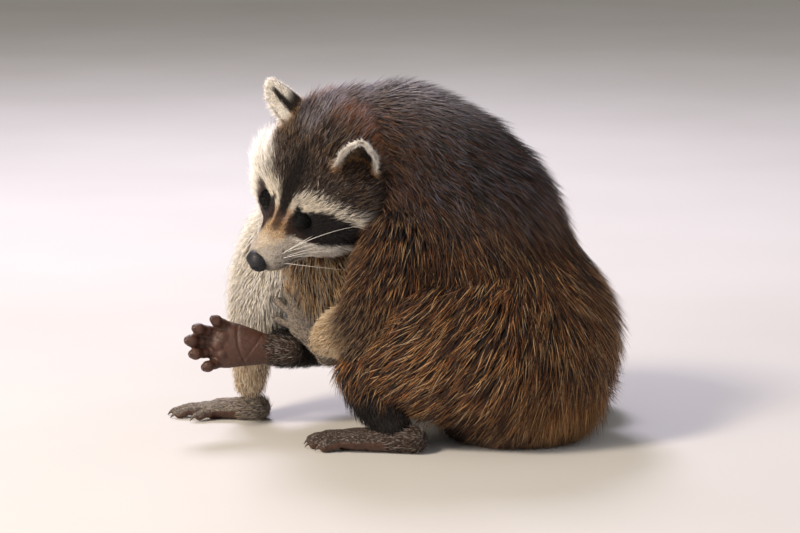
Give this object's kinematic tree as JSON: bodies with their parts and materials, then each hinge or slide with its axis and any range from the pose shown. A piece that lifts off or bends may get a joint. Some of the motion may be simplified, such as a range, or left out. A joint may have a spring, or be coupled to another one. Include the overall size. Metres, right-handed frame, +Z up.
{
  "type": "raccoon",
  "caption": "Life-size still figure of an adult raccoon sitting with bowed head, one hind foot held up sole outward and a ringed tail on the floor.",
  "frame": {"origin": "middle of the whole figure's box at floor level", "axes": "+Z up; the figure faces -X with its left side towards -Y"},
  "size_m": [0.4158, 0.356, 0.3259],
  "materials": {
    "coat": "long matte fur, grizzled brown with a black mask and pale brows",
    "ear_coat": "short matte fur, pale rim over a dark back",
    "eye": "wet gloss, very dark brown",
    "nose": "bare grained skin, moist",
    "paw": "bare creased skin below, thin short fur above",
    "claw": "smooth horn, dull"
  },
  "bodies": {
    "root": {"head": "coat", "neck": "coat", "trunk": "coat", "tail_base": "coat", "tail_tip": "coat", "upper_arm_left": "coat", "upper_arm_right": "coat", "forearm_left": "coat", "forearm_right": "coat", "thigh_left": "coat", "thigh_right": "coat", "shank_left": "coat", "shank_right": "coat", "ear_left": "ear_coat", "ear_right": "ear_coat", "eye_left": "eye", "eye_right": "eye", "nose": "nose", "forepaw_left": "paw", "forepaw_right": "paw", "hindpaw_left": "paw", "hindpaw_right": "paw", "forepaw_left_claw_1": "claw", "forepaw_left_claw_2": "claw", "forepaw_left_claw_3": "claw", "forepaw_left_claw_4": "claw", "forepaw_left_claw_5": "claw", "forepaw_right_claw_1": "claw", "forepaw_right_claw_2": "claw", "forepaw_right_claw_3": "claw", "forepaw_right_claw_4": "claw", "forepaw_right_claw_5": "claw", "hindpaw_left_claw_1": "claw", "hindpaw_left_claw_2": "claw", "hindpaw_left_claw_3": "claw", "hindpaw_left_claw_4": "claw", "hindpaw_left_claw_5": "claw", "hindpaw_right_claw_1": "claw", "hindpaw_right_claw_2": "claw", "hindpaw_right_claw_3": "claw", "hindpaw_right_claw_4": "claw", "hindpaw_right_claw_5": "claw"}
  },
  "joints": []
}
